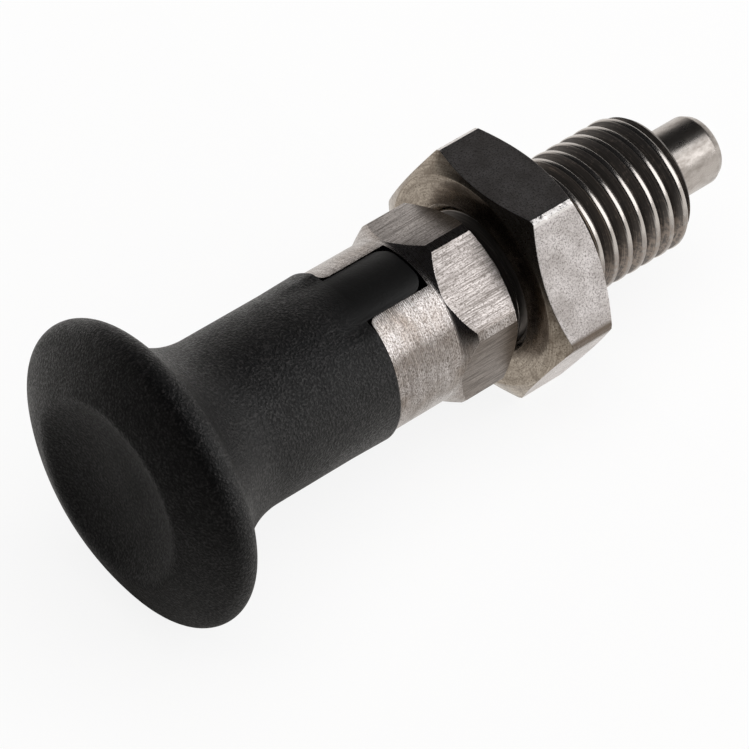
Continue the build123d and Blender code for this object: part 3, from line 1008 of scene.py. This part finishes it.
def floorPaper():
    s = studio
    finish, tree, shader = newFinish("floorPaper", s["floorColor"], 0, s["floorRoughness"])
    shader.inputs["Specular IOR Level"].default_value = s["floorSpecular"]
    glow, blend = tree.nodes.new("ShaderNodeEmission"), tree.nodes.new("ShaderNodeMixShader")
    ray = tree.nodes.new("ShaderNodeLightPath").outputs
    mirrored = work(tree, "MAXIMUM", ray["Is Glossy Ray"], ray["Is Transmission Ray"])
    x, y = takeApart(tree, millimetres(tree))[:2]
    beside, before = (minus(tree, side, middle) for side, middle in zip((x, y), s["shadeAt"]))
    reach = distance(tree, work(tree, "DIVIDE", beside, s["shadeLong"]), before)
    # the camera sees it white, with the object's shadow near the object
    glowing = spread(tree, reach, *s["floorClear"], s["floorGlow"], 1.0)
    tree.links.new(timesPlus(tree, ray["Is Camera Ray"], glowing, mirrored), blend.inputs[0])
    # polished faces see the paper's painted glow, falling off away from the bright side, and painted shadow
    # under the object
    lit = spread(tree, towardsBright(tree, x, y), *s["floorFade"])
    lit = work(tree, "POWER", lit, s["floorFadePower"])
    lit = times(tree, lit, spread(tree, reach, *s["shadeFrom"]))
    seen = blendColor(tree, lit, s["floorFar"], s["floorNear"])
    join(tree, blendColor(tree, ray["Is Camera Ray"], seen, white), glow.inputs["Color"])
    tree.links.new(shader.outputs[0], blend.inputs[1])
    tree.links.new(glow.outputs[0], blend.inputs[2])
    tree.links.new(blend.outputs[0], tree.nodes["Material Output"].inputs[0])
    return finish


def makeFloor():
    # the plunger lies on the rim of its knob and on a flat of its nut
    s, k, n = studio, knob, nut
    nutDrop = n["acrossFlats"] / 2
    rimX, rimDrop = k["skirtEnd"] - k["length"] + k["headBack"], k["headRadius"] - k["rimRadius"]
    nutX = n["rear"] + n["thick"] - (nutDrop - n["faceRadius"]) * tan(radians(n["slope"]))
    apart, down = nutX - rimX, rimDrop - nutDrop
    tilt = asin(k["rimRadius"] / hypot(apart, down)) + atan2(down, apart)
    size, fall = s["floorSize"] / 2 * mm, radians(s["floorFall"])
    foot = Vector((nutX, 0, -nutDrop - s["floorBelow"])) * mm
    along, beside = Vector((cos(tilt), 0, sin(tilt))), Vector((0, size, 0))
    bend = foot + along * s["floorBend"] * mm  # past the pin the paper falls away
    line = [foot - along * size, bend, bend + Vector((cos(fall), 0, -sin(fall))) * size]
    mesh = bpy.data.meshes.new("floor")
    points = [p - beside for p in line] + [p + beside for p in line]
    mesh.from_pydata(points, [], [(0, 1, 4, 3), (1, 2, 5, 4)])
    mesh.materials.append(floorPaper())
    floor = show("floor", mesh)
    print("floor tilted by", round(degrees(tilt), 2), "degrees")


def addLamp(name, place, size, power, glossy=True):
    light = bpy.data.lights.new(name, "AREA")
    light.shape, light.size, light.energy = "SQUARE", size, power
    lamp = bpy.data.objects.new(name, light)
    facing = (-place).to_track_quat("-Z", "Y").to_matrix().to_4x4()
    lamp.matrix_world = Matrix.Translation(place) @ facing
    lamp.visible_glossy = glossy
    bpy.context.scene.collection.objects.link(lamp)


def lightScene():
    s = studio
    turn, lift = (radians(a) for a in s["keyFrom"])
    keyAt = Vector((sin(turn) * cos(lift), cos(turn) * cos(lift), sin(lift))) * s["keyAway"]
    addLamp("keyLamp", keyAt, s["keySize"], s["keyPower"])
    addLamp("fillLamp", Vector(s["fillAt"]), s["fillSize"], s["fillPower"], glossy=False)
    world = bpy.data.worlds.new("studio")
    world.use_nodes = True
    tree = world.node_tree
    x, y, z = takeApart(tree, tree.nodes.new("ShaderNodeTexCoord").outputs["Generated"])
    side = spread(tree, towardsBright(tree, x, y), *s["sideFrom"])
    dark = work(tree, "MAXIMUM", spread(tree, z, *s["zenithFrom"]), side)
    shade = blendColor(tree, dark, s["horizon"], s["zenith"])
    ray = tree.nodes.new("ShaderNodeLightPath").outputs
    join(tree, blendColor(tree, ray["Is Camera Ray"], shade, white), tree.nodes["Background"].inputs["Color"])
    bpy.context.scene.world = world
    bpy.context.scene.view_settings.view_transform = "Standard"
    print("lights placed")


placeCamera()
makeFloor()
lightScene()
